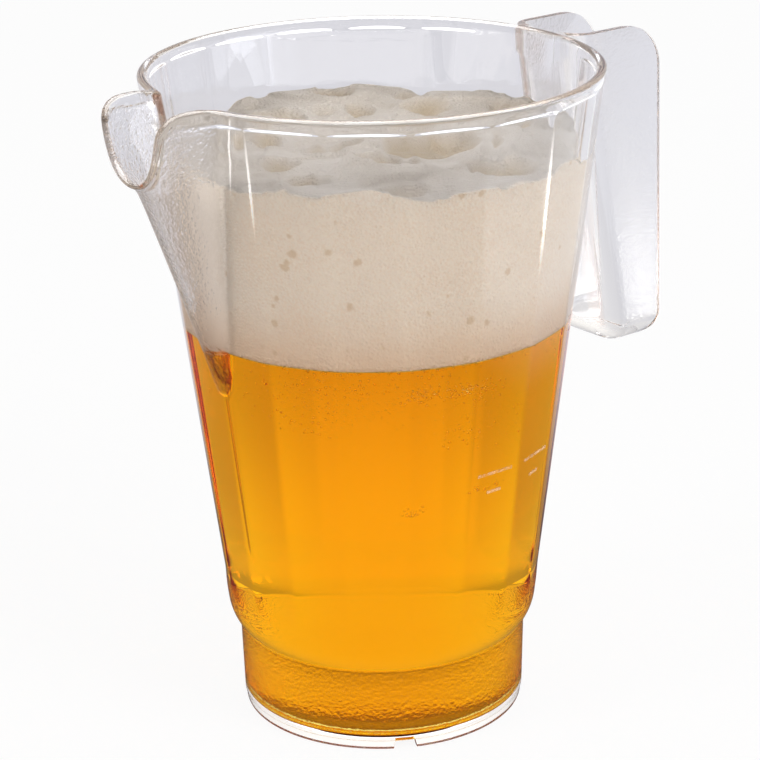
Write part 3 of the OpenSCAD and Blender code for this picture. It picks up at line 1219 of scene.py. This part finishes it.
@dataclass
class Handle:
    """The open channel handle: a web, a bottom and two flat cheeks, moulded as one thin sheet."""

    jug: Jug
    reach: float = field(default_factory=lambda: high("handle_cheek_left").x)
    low_z: float = field(default_factory=lambda: low("handle_bottom").z)
    half_w: float = field(default_factory=lambda: high("handle_cheek_left").y)
    wall: float = 2.4
    web_drop: float = 11.0
    web_lean: float = math.tan(math.radians(9.8))
    edge_lean: float = math.tan(math.radians(1.4))
    corner: float = 9.0
    corner_steps: int = 9
    corner_pick: float = 0.1
    top_round: float = 14.0
    top_steps: int = 10
    foot_round: float = 8.0
    foot_pick: float = 0.5
    open_facing: float = 0.9
    sink: float = 0.7
    core_margin: float = 20.0
    edge_round: float = 0.7
    edge_steps: int = 3
    sharp_turn: float = math.radians(50)
    smooth_turn: float = math.radians(40)
    frost: float = 0.42
    frost_pick: float = 0.2
    trim_pick: float = 0.02
    join_pick: float = 0.3

    def web_x(self, z: float) -> float:
        """Outer face of the web at a height."""
        web_z = self.jug.top_z - self.web_drop
        return self.jug.wall_r(web_z) + (web_z - z) * self.web_lean

    def edge_x(self, z: float) -> float:
        """Open edge of the cheeks at a height."""
        return self.reach - (z - self.low_z - self.corner) * self.edge_lean

    def tray(self) -> bpy.types.Object:
        """Draw a block out to the handle's outline, open it at its top and outer sides, and round its edges.

        Returns:
            The thin tray.
        """
        fresh_start()
        bpy.ops.mesh.primitive_cube_add(size=2.0, location=(0, 0, 0))
        piece = name_piece("handle")
        corners = vertices_of(piece) * MM
        top = self.jug.top_z
        places = []
        for x, y, z in corners:
            height = top if z > 0 else self.low_z
            across = self.edge_x(height) if x > 0 else self.web_x(height)
            places.append((across, math.copysign(self.half_w, y), height))
        move_vertices(piece, np.array(places))
        bpy.ops.object.mode_set(mode="EDIT")
        bpy.ops.mesh.select_all(action="DESELECT")
        bpy.ops.object.mode_set(mode="OBJECT")
        for face in piece.data.polygons:
            face.select = max(face.normal.x, face.normal.z) > self.open_facing
        bpy.ops.object.mode_set(mode="EDIT")
        bpy.ops.mesh.delete(type="FACE")
        bpy.ops.mesh.select_mode(type="EDGE")
        bpy.ops.mesh.select_all(action="SELECT")
        bpy.ops.mesh.region_to_loop()
        bpy.ops.object.mode_set(mode="OBJECT")
        for edge in piece.data.edges:
            edge.select = not edge.select
        bpy.ops.object.mode_set(mode="EDIT")
        bpy.ops.mesh.bevel(
            offset=self.corner * MM, segments=self.corner_steps, affect="EDGES", clamp_overlap=True)
        self._round_upper_corners(piece)
        return piece

    def _round_upper_corners(self, piece: bpy.types.Object) -> None:
        """Round the cheeks' upper outer corners, and draw the bottom's outer edge back to a round.

        Args:
            piece: The tray.
        """
        bpy.ops.mesh.select_mode(type="VERT")
        bpy.ops.mesh.select_all(action="DESELECT")
        bpy.ops.object.mode_set(mode="OBJECT")
        pick_x = self.edge_x(self.jug.top_z) * MM - self.corner_pick * MM
        pick_z = (self.jug.top_z - self.corner_pick) * MM
        for vertex in piece.data.vertices:
            vertex.select = vertex.co.x > pick_x and vertex.co.z > pick_z
        bpy.ops.object.mode_set(mode="EDIT")
        bpy.ops.mesh.bevel(offset=self.top_round * MM, segments=self.top_steps, affect="VERTICES")
        bpy.ops.object.mode_set(mode="OBJECT")
        where = vertices_of(piece)
        round_z = self.low_z + self.foot_round
        for place in where:
            if place[2] < round_z and place[0] > self.edge_x(place[2]) - self.foot_pick:
                rise = min(round_z - place[2], self.foot_round)
                place[0] -= self.foot_round - math.sqrt(max(self.foot_round ** 2 - rise ** 2, 0.0))
        move_vertices(piece, where)

    def wall_core(self) -> bpy.types.Object:
        """Make a cone a little inside the jug's wall, which the handle is trimmed to.

        Returns:
            The cone.
        """
        fresh_start()
        ends = (self.low_z - self.core_margin, self.jug.top_z + self.core_margin)
        bpy.ops.mesh.primitive_cone_add(
            vertices=self.jug.columns, radius1=(self.jug.wall_r(ends[0]) - self.sink) * MM,
            radius2=(self.jug.wall_r(ends[1]) - self.sink) * MM, depth=(ends[1] - ends[0]) * MM,
            location=(0, 0, sum(ends) / 2 * MM))
        return name_piece("wall_core")

    def build(self) -> bpy.types.Object:
        """Thicken the tray, trim it to the jug's wall and round its edges.

        Returns:
            The handle.
        """
        piece = self.tray()
        core = self.wall_core()
        fresh_start()
        piece.select_set(True)
        bpy.context.view_layer.objects.active = piece
        skin = piece.modifiers.new("skin", "SOLIDIFY")
        skin.thickness = self.wall * MM
        skin.offset = -1
        skin.use_even_offset = True
        bpy.ops.object.modifier_apply(modifier=skin.name)
        trim = piece.modifiers.new("trim", "BOOLEAN")
        trim.operation = "DIFFERENCE"
        trim.object = core
        bpy.ops.object.modifier_apply(modifier=trim.name)
        bpy.data.objects.remove(core)
        soft = piece.modifiers.new("soft", "BEVEL")
        soft.width = self.edge_round * MM
        soft.segments = self.edge_steps
        soft.limit_method = "ANGLE"
        soft.angle_limit = self.sharp_turn
        bpy.ops.object.modifier_apply(modifier=soft.name)
        bpy.ops.object.shade_smooth_by_angle(angle=self.smooth_turn)
        where = vertices_of(piece)
        outer_face = np.abs(where[:, 1]) > self.half_w - self.frost_pick
        trimmed = np.hypot(where[:, 0], where[:, 1]) < self.wall_reach(where) + self.trim_pick
        store(piece, "frost", np.where(outer_face, self.frost, 0.0))
        store(piece, "wet", trimmed.astype(float))
        return piece

    def wall_reach(self, where: np.ndarray) -> np.ndarray:
        """Outer radius of the jug's wall at the heights of some points."""
        return np.array([self.jug.wall_r(z) for z in where[:, 2]])

    def join(self, jug_piece: bpy.types.Object) -> None:
        """Mark the places of the jug's wall where the handle's plastic runs on without a face.

        Args:
            jug_piece: The finished jug.
        """
        where = vertices_of(jug_piece)
        off_wall = np.abs(np.hypot(where[:, 0], where[:, 1]) - self.wall_reach(where))
        at_wall = off_wall < self.join_pick
        past_web = where[:, 0] - np.array([self.web_x(z) for z in where[:, 2]])
        beside = np.abs(where[:, 1])
        in_web = (past_web > 0) & (past_web < self.wall) & (beside < self.half_w)
        in_cheek = (past_web > 0) & (beside < self.half_w) & (beside > self.half_w - self.wall)
        layer = jug_piece.data.attributes["wet"]
        wet = np.empty(len(where), dtype=np.float32)
        layer.data.foreach_get("value", wet)
        wet[at_wall & (where[:, 0] > 0) & (in_web | in_cheek)] = 1.0
        layer.data.foreach_set("value", wet)


@dataclass
class Beer:
    """The beer: it wets the plastic, so its skin lies a little inside the jug's wall."""

    jug: Jug
    top_z: float = field(default_factory=lambda: high("beer").z)
    overlap: float = 0.25
    climb: float = 0.3
    columns: int = 192
    side_lift: float = 8.0
    side_rings: int = 10
    floor_mid: float = 20.0
    cup_z: float = 9.0
    corner: tuple[Pair, ...] = ((2.0, 0.0), (0.7, 0.3), (0.0, 1.0))
    meniscus: tuple[Pair, ...] = ((0.6, 0.1), (4.0, 0.0))

    def profile(self) -> list[Pair]:
        """Section of the beer from the floor's middle to the middle of its top.

        Returns:
            Radii and heights.
        """
        jug = self.jug
        floor = jug.floor_z - self.overlap
        bowl = jug.inner_r(jug.floor_z)
        shoulder = jug.shoulder_line(jug.cup_wall, jug.wall, jug.inner_shoulder_rings)
        sides = [(r + self.overlap, z) for r, z in shoulder]
        heights = np.linspace(jug.wall_z + self.side_lift, self.top_z + self.climb, self.side_rings)
        sides += [(jug.inner_r(z) + self.overlap, z) for z in heights]
        rim = sides[-1][0]
        corner = [(bowl - inwards, floor + rise) for inwards, rise in self.corner]
        lower = [(0.0, floor), (self.floor_mid, floor), *corner]
        lower += [(jug.inner_r(self.cup_z) + self.overlap, self.cup_z)]
        upper = [(rim - inwards, self.top_z + rise) for inwards, rise in self.meniscus]
        return [*lower, *sides, *upper, (0.0, self.top_z)]

    def build(self) -> bpy.types.Object:
        """Turn the beer's profile.

        Returns:
            The beer.
        """
        piece = turn_profile("beer_fill", self.profile(), self.columns)
        close_roll()
        return piece


@dataclass
class Foam:
    """The foam head: smooth against the wall, with a lumpy top full of burst hollows.

    Places and sizes on its top are shares of its radius, and depths are in lump heights, as in the solid.
    """

    jug: Jug
    low_z: float = field(default_factory=lambda: low("foam_head").z)
    top_z: float = 180.0
    overlap: float = 0.2
    lump: float = 3.0
    columns: int = 288
    top_rings: int = 64
    hollows: tuple[Spot, ...] = (
        (-0.7, -0.34, 0.12, 1), (-0.56, -0.02, 0.11, 0.9), (-0.2, -0.32, 0.14, 1.2), (0.18, -0.26, 0.24, 1.7),
        (-0.46, -0.74, 0.12, 1), (0.13, -0.78, 0.15, 1.2), (0.38, 0.78, 0.13, 1.1), (0.32, 0.5, 0.1, 0.9),
        (0.64, 0.52, 0.1, 0.8), (0.56, 0.28, 0.12, 0.9), (-0.42, 0.36, 0.13, 0.8), (0.62, -0.3, 0.13, 1),
        (-0.16, 0.04, 0.12, 0.8), (-0.08, 0.66, 0.14, 0.9), (-0.74, 0.34, 0.1, 0.7), (0.86, 0.02, 0.1, 0.8))
    mound: Spot = (0.36, 0.89, 0.3, 0.8)
    small_hollows: int = 40
    small_reach: Pair = (0.02, 0.98)
    small_sizes: Pair = (0.02, 0.06)
    small_depths: Pair = (4.0, 7.0)
    drift: float = 0.04
    drift_scale: float = 8.0
    hollow_reach: float = 1.5
    hollow_rim: float = 0.14
    hollow_rim_at: float = 1.06
    hollow_rim_w: float = 0.14
    coarse: Triple = (2.6, 0.07, 0.5)
    middle: Triple = (5.2, 0.06, 0.3)
    ledge_drop: float = 0.4
    fine_scale: float = 9.0
    fine_height: float = 0.16
    side_rings: int = 34
    work_depth: float = 9.0
    work_full: float = 0.5
    crown_pick: float = 0.2

    def wave(self, u: float, v: float) -> float:
        """Slow waves of the top, the same as the solid's."""
        return (0.3 * sin_deg(450 * u + 40) * sin_deg(400 * v + 65) + 0.22 * sin_deg(265 * u - 610 * v + 80)
                + 0.15 * sin_deg(715 * u + 320 * v + 90))

    def swell(self, u: float, v: float) -> float:
        """Broad mound of the top, the same as the solid's."""
        x, y, size, height = self.mound
        return height * math.exp(-(math.hypot(u - x, v - y) / size) ** 2)

    def profile(self) -> list[Pair]:
        """Section of the foam from the middle of its underside to the middle of its top.

        Returns:
            Radii and heights.
        """
        heights = np.linspace(self.low_z, self.top_z - 1.5, self.side_rings)
        sides = [(self.jug.inner_r(z) + self.overlap, z) for z in heights]
        rim = self.jug.inner_r(self.top_z) + self.overlap
        crown = [(rim, self.top_z - 0.4)]
        for i in range(1, self.top_rings + 1):
            crown.append((rim * (1 - i / self.top_rings), self.top_z + 0.001 * i))
        return [(0.0, self.low_z - 0.02), (sides[0][0] * 0.5, self.low_z - 0.01), *sides, *crown]

    def all_hollows(self) -> list[Spot]:
        """Strew small hollows between the main ones.

        Returns:
            The main hollows and the small ones.
        """
        draw = random.Random(SEED)
        made = list(self.hollows)
        for _ in range(self.small_hollows):
            angle = draw.uniform(0, math.tau)
            reach = math.sqrt(draw.uniform(*self.small_reach))
            size = draw.uniform(*self.small_sizes)
            depth = size * draw.uniform(*self.small_depths)
            made.append((reach * math.cos(angle), reach * math.sin(angle), size, depth))
        return made

    def sink(self, u: float, v: float, spots: Sequence[Spot]) -> Pair:
        """Shape the hollows at a place of the top.

        Args:
            u: The place along x, as a share of the radius.
            v: The place along y, as a share of the radius.
            spots: The hollows.

        Returns:
            How deep the hollows are there, and how high their rims stand up round them.
        """
        deep = 0.0
        rim = 0.0
        drift_u = self.drift * noise.noise((u * self.drift_scale, v * self.drift_scale, 5.5))
        drift_v = self.drift * noise.noise((u * self.drift_scale, v * self.drift_scale, 9.2))
        for x, y, size, depth in spots:
            gap = math.hypot(u - x + drift_u, v - y + drift_v) / size
            if gap < self.hollow_reach:
                off_rim = (gap - self.hollow_rim_at) / self.hollow_rim_w
                deep = max(deep, depth * max(1 - gap * gap, 0.0))
                rim = max(rim, self.hollow_rim * depth * math.exp(-off_rim ** 2))
        return deep, rim

    @staticmethod
    def ledge(u: float, v: float, kind: Triple, layer: float) -> float:
        """One size of soft steps, which has a scale, half the run of a step and its height."""
        scale, run, height = kind
        return height * ease(-run, run, noise.noise((u * scale, v * scale, layer)))

    def ledges(self, u: float, v: float) -> float:
        """Soft steps and small lumps of the top.

        Args:
            u: The place along x, as a share of the radius.
            v: The place along y, as a share of the radius.

        Returns:
            Their height.
        """
        coarse = self.ledge(u, v, self.coarse, 7.7)
        middle = self.ledge(u, v, self.middle, 1.3)
        fine = noise.noise((u * self.fine_scale, v * self.fine_scale, 3.1))
        return coarse + middle - self.ledge_drop + self.fine_height * fine

    def build(self) -> bpy.types.Object:
        """Turn the foam's profile and work its top into lumps and hollows.

        Returns:
            The foam.
        """
        piece = turn_profile("foam_crown", self.profile(), self.columns)
        where = vertices_of(piece)
        radius = np.hypot(where[:, 0], where[:, 1])
        spots = self.all_hollows()
        rim_r = self.jug.inner_r(self.top_z)
        # Depth into the hollows: the mask of their tan and painted shade.
        hollow_tan_and_shade = np.zeros(len(where))
        # Mask of the top, which the foam's finish colours with painted shade.
        crown = (where[:, 2] > self.top_z - self.crown_pick).astype(float)
        for i, (x, y, z) in enumerate(where):
            up = ease(self.top_z - self.work_depth, self.top_z - self.work_full, z)
            if up <= 0:
                continue
            u = x / rim_r
            v = y / rim_r
            deep, rim = self.sink(u, v, spots)
            rise = self.wave(u, v) + self.swell(u, v) + self.ledges(u, v) + rim - deep
            where[i, 2] += up * self.lump * rise
            hollow_tan_and_shade[i] = up * min(deep, 1.0)
        limit = np.array([self.jug.inner_r(z) + self.overlap for z in where[:, 2]])
        off_axis = radius > 1
        share = np.ones(len(where))
        share[off_axis] = np.minimum(1.0, limit[off_axis] / radius[off_axis])
        where[:, :2] *= share[:, None]
        move_vertices(piece, where)
        store(piece, "hollow_tan_and_shade", hollow_tan_and_shade)
        store(piece, "crown", crown)
        close_roll()
        return piece


@dataclass
class Bubbles:
    """Gas bubbles that cling to the inside of the wall, in loose groups and along the foam's lower edge."""

    jug: Jug
    top_z: float = field(default_factory=lambda: high("beer").z - 0.4)
    groups: tuple[BubbleGroup, ...] = (
        (-115.0, 118.5, 3.2, 70), (-103.0, 118.5, 3.0, 60), (-96.0, 117.5, 4.0, 60), (-99.0, 104.0, 7.0, 40),
        (-96.0, 85.0, 1.4, 14), (-88.0, 85.0, 1.4, 14), (-118.0, 81.0, 2.0, 22), (-152.0, 110.0, 6.0, 40),
        (-138.0, 124.0, 9.0, 40), (-110.0, 124.5, 9.0, 60), (60.0, 100.0, 9.0, 40), (20.0, 112.0, 9.0, 40))
    fine_groups: tuple[BubbleGroup, ...] = (
        (-150.0, 118.0, 12.0, 160), (-128.0, 117.0, 11.0, 160), (-98.0, 110.0, 14.0, 160),
        (60.0, 118.0, 14.0, 120))
    sizes: Pair = (0.16, 0.46)
    fine_sizes: Pair = (0.09, 0.2)
    ball_segments: int = 7
    ball_rings: int = 5
    spread_up: float = 0.4
    stand_off: float = 0.9

    def build(self) -> bpy.types.Object:
        """Model one bubble and copy it to every place.

        Returns:
            All bubbles as one piece.
        """
        fresh_start()
        bpy.ops.mesh.primitive_uv_sphere_add(
            segments=self.ball_segments, ring_count=self.ball_rings, radius=MM, location=(0, 0, 0))
        seed = name_piece("wall_bubbles")
        ball = vertices_of(seed)
        faces = sorted(from_lowest(tuple(face.vertices)) for face in seed.data.polygons)
        draw = random.Random(SEED + 1)
        sheets = []
        for groups, sizes in ((self.groups, self.sizes), (self.fine_groups, self.fine_sizes)):
            for angle, z, spread, count in groups:
                for _ in range(count):
                    size = draw.uniform(*sizes)
                    height = min(z + draw.gauss(0, spread * self.spread_up), self.top_z - size)
                    reach = self.jug.inner_r(height) - self.stand_off - size
                    turn = math.radians(angle) + draw.gauss(0, spread) / reach
                    middle = (reach * math.cos(turn), reach * math.sin(turn), height)
                    sheets.append(ball * size + np.array(middle))
        mesh = bpy.data.meshes.new("wall_bubbles")
        joined = [[number + len(ball) * i for number in face] for i in range(len(sheets)) for face in faces]
        mesh.from_pydata((np.concatenate(sheets) * MM).tolist(), [], joined)
        seed.data = mesh
        seed.select_set(True)
        bpy.ops.object.shade_smooth()
        return seed


@dataclass
class Studio:
    """Pale floor, soft light and the camera. Tones and the runs over which they change are given in pairs of
    fields; a run on the floor is in metres, and one in the surround is a share of its direction."""

    floor_half: float = 6.0
    bounces: int = 64
    camera_at: Triple = (-0.4651, -0.5858, 0.3759)
    camera_way: Pair = (0.6225, 0.7826)
    camera_down: float = 19.99
    camera_roll: float = -1.078
    lens: float = 123.07
    sensor: float = 36.0
    seen_floor: Colour = (0.9, 0.9, 0.9)
    seen_sky: Colour = (1.0, 1.0, 1.0)
    matte: Colour = (0.1, 0.1, 0.1)
    under: Colour = (1.06, 1.04, 1.0)
    under_side: Colour = (0.64, 0.63, 0.64)
    under_run: Pair = (0.0, 0.16)
    backdrop: Colour = (0.645, 0.645, 0.695)
    backdrop_run: Pair = (0.2, 0.6)
    front_floor: Colour = (1.08, 1.07, 1.07)
    front_floor_run: Pair = (-0.1, -0.3)
    bright_side: Triple = (0.9, -0.42, 0.1)
    left_light: Colour = (1.75, 1.7, 1.65)
    right_light: Colour = (3.6, 3.7, 3.9)
    right_run: Pair = (0.35, 1.0)
    back_light: Colour = (1.7, 1.68, 1.68)
    back_run: Pair = (-0.35, 0.35)
    top_light: Colour = (0.3, 0.3, 0.3)
    top_run: Pair = (0.25, 0.65)
    dark: Colour = (0.02, 0.02, 0.022)
    mirror_floor_run: Pair = (0.1, 0.35)
    mirror_back_run: Pair = (0.35, 0.85)
    mirror_top_run: Pair = (0.55, 0.75)
    # Glow overhead, seen only in reflections: painted highlights on the rim.
    mirror_top: float = 0.65
    # Bright sheet and glowing spots on the floor, seen only in reflections: painted highlights on the jug's
    # ridges.
    sheet: Colour = (1.2, 1.25, 1.32)
    sheet_run: Pair = (0.23, 0.33)
    gleam: float = 12.0
    gleam_spots: tuple[Triple, ...] = ((0.35, -0.234, 0.09), (-0.405, 0.05, 0.055))
    gleam_core: float = 0.15
    lamp_set: tuple[Lamp, ...] = (("key", (0.4, -1.7, 1.1), 0.8, 14.0), ("rim", (-1.6, 0.3, 0.9), 0.6, 7.0))
    lamp_aim: Triple = (0.0, 0.0, 0.12)

    def build(self) -> None:
        """Make the floor, the light and the camera."""
        self.floor()
        self.sky()
        self.lamps()
        self.camera()
        scene = bpy.context.scene
        scene.view_settings.view_transform = "Standard"
        scene.cycles.max_bounces = self.bounces
        scene.cycles.transmission_bounces = self.bounces
        scene.cycles.glossy_bounces = self.bounces

    def floor(self) -> None:
        """Pale floor: white to the camera, pale grey further off to light that comes through the jug, and
        dark in reflections but for a bright sheet and glowing spots that paint highlight lines on the jug's
        ridges.
        """
        fresh_start()
        bpy.ops.mesh.primitive_plane_add(size=2 * self.floor_half, location=(0, 0, 0))
        piece = name_piece("floor")
        material = bpy.data.materials.new("pale_floor")
        tree = ShaderTree(material)
        where = tree.place()
        reach = tree.measure("LENGTH", where)
        depth = tree.measure("DOT_PRODUCT", where, (*self.camera_way, 0.0))
        aside = tree.measure("DOT_PRODUCT", where, (self.camera_way[1], -self.camera_way[0], 0.0))
        off_line = tree.math("ABSOLUTE", aside, 0.0)
        tone = tree.mix(tree.range(off_line, *self.under_run), self.under, self.under_side)
        tone = tree.mix(tree.range(reach, *self.backdrop_run), tone, self.backdrop)
        tone = tree.mix(tree.range(depth, *self.front_floor_run), tone, self.front_floor)
        mirror_tone = tree.mix(tree.range(depth, *self.mirror_floor_run), self.dark, self.backdrop)
        # Painted highlights: a bright sheet and glowing spots that only reflections see.
        mirror_tone = tree.mix(tree.range(aside, *self.sheet_run), mirror_tone, self.sheet)
        for x, y, half in self.gleam_spots:
            spot = tree.range(tree.measure("DISTANCE", where, (x, y, 0.0)), half, self.gleam_core * half)
            mirror_tone = tree.mix(spot, mirror_tone, (self.gleam,) * 3)
        tone = tree.mix(tree.mirrored(), tone, mirror_tone)
        glow = tree.add("Emission", None, {"Color": tree.mix(tree.seen(), tone, self.seen_floor)})
        matte = tree.add("BsdfDiffuse", None, {"Color": (*self.matte, 1.0)})
        tree.surface(tree.add("AddShader", None, {0: glow, 1: matte}))
        piece.data.materials.append(material)

    def sky(self) -> None:
        """Soft surround: white to the camera, brighter on the right, and mostly dark in reflections, but for
        a glow overhead that paints highlights on the rim.
        """
        world = bpy.data.worlds.new("studio")
        bpy.context.scene.world = world
        tree = ShaderTree(world)
        way = tree.add("TexCoord", out="Generated")
        up = tree.add("SeparateXYZ", None, {"Vector": way}, "Z")
        along = tree.measure("DOT_PRODUCT", way, (*self.camera_way, 0.0))
        right = tree.measure("DOT_PRODUCT", way, self.bright_side)
        lit = tree.mix(tree.range(right, *self.right_run), self.left_light, self.right_light)
        lit = tree.mix(tree.range(along, *self.back_run), lit, self.back_light)
        lit = tree.mix(tree.range(up, *self.top_run), lit, self.top_light)
        gleam = tree.mix(tree.range(along, *self.mirror_back_run), self.dark, self.backdrop)
        # Painted highlights: a glow overhead that only reflections see.
        overhead = (self.mirror_top * self.gleam,) * 3
        gleam = tree.mix(tree.range(up, *self.mirror_top_run), gleam, overhead)
        lit = tree.mix(tree.mirrored(), lit, gleam)
        glow = tree.add("Background", None, {"Color": tree.mix(tree.seen(), lit, self.seen_sky)})
        tree.add_output("OutputWorld", {"Surface": glow})

    def lamps(self) -> None:
        """Two soft area lamps."""
        for name, place, size, power in self.lamp_set:
            data = bpy.data.lights.new(name, "AREA")
            data.energy = power
            data.size = size
            lamp = bpy.data.objects.new(name, data)
            bpy.context.collection.objects.link(lamp)
            lamp.location = place
            lamp.visible_glossy = False
            aim = Vector(self.lamp_aim) - Vector(place)
            lamp.rotation_euler = aim.to_track_quat("-Z", "Y").to_euler()

    def camera(self) -> None:
        """Camera at the photograph's place."""
        data = bpy.data.cameras.new("camera")
        data.lens = self.lens
        data.sensor_width = self.sensor
        eye = bpy.data.objects.new("camera", data)
        bpy.context.collection.objects.link(eye)
        down = math.radians(self.camera_down)
        flat = math.cos(down)
        way = Vector((self.camera_way[0] * flat, self.camera_way[1] * flat, -math.sin(down)))
        roll = Matrix.Rotation(math.radians(self.camera_roll), 3, "Z")
        turn = way.to_track_quat("-Z", "Y").to_matrix() @ roll
        eye.matrix_world = Matrix.Translation(self.camera_at) @ turn.to_4x4()
        bpy.context.scene.camera = eye


def main() -> None:
    """Build every piece in order, dress it and report it."""
    logging.basicConfig(level=logging.INFO, format="%(name)s: %(message)s")
    plastic = MouldedPlastic().make()
    jug = Jug()
    handle = Handle(jug)
    jug_piece = jug.build()
    handle.join(jug_piece)
    dress(jug_piece, plastic, (
        "fluted_wall", "rim_band", "pour_spout", "stacking_shoulder", "base_cup", "jug_floor",
        "foot_arc_1", "foot_arc_2", "foot_arc_3"))
    dress(handle.build(), plastic, (
        "handle_root", "handle_web", "handle_bend", "handle_bottom",
        "handle_cheek_left", "handle_cheek_right"))
    dress(Beer(jug).build(), AmberBeer().make(), ("beer",))
    dress(Foam(jug).build(), CreamFoam().make(), ("foam_head",))
    dress(Bubbles(jug).build(), BubbleSkin().make())
    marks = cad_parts["level_marks"]
    marks.data.materials.clear()
    marks.data.materials.append(PaleFrost().make())
    Studio().build()


if __name__ == "__main__":
    main()
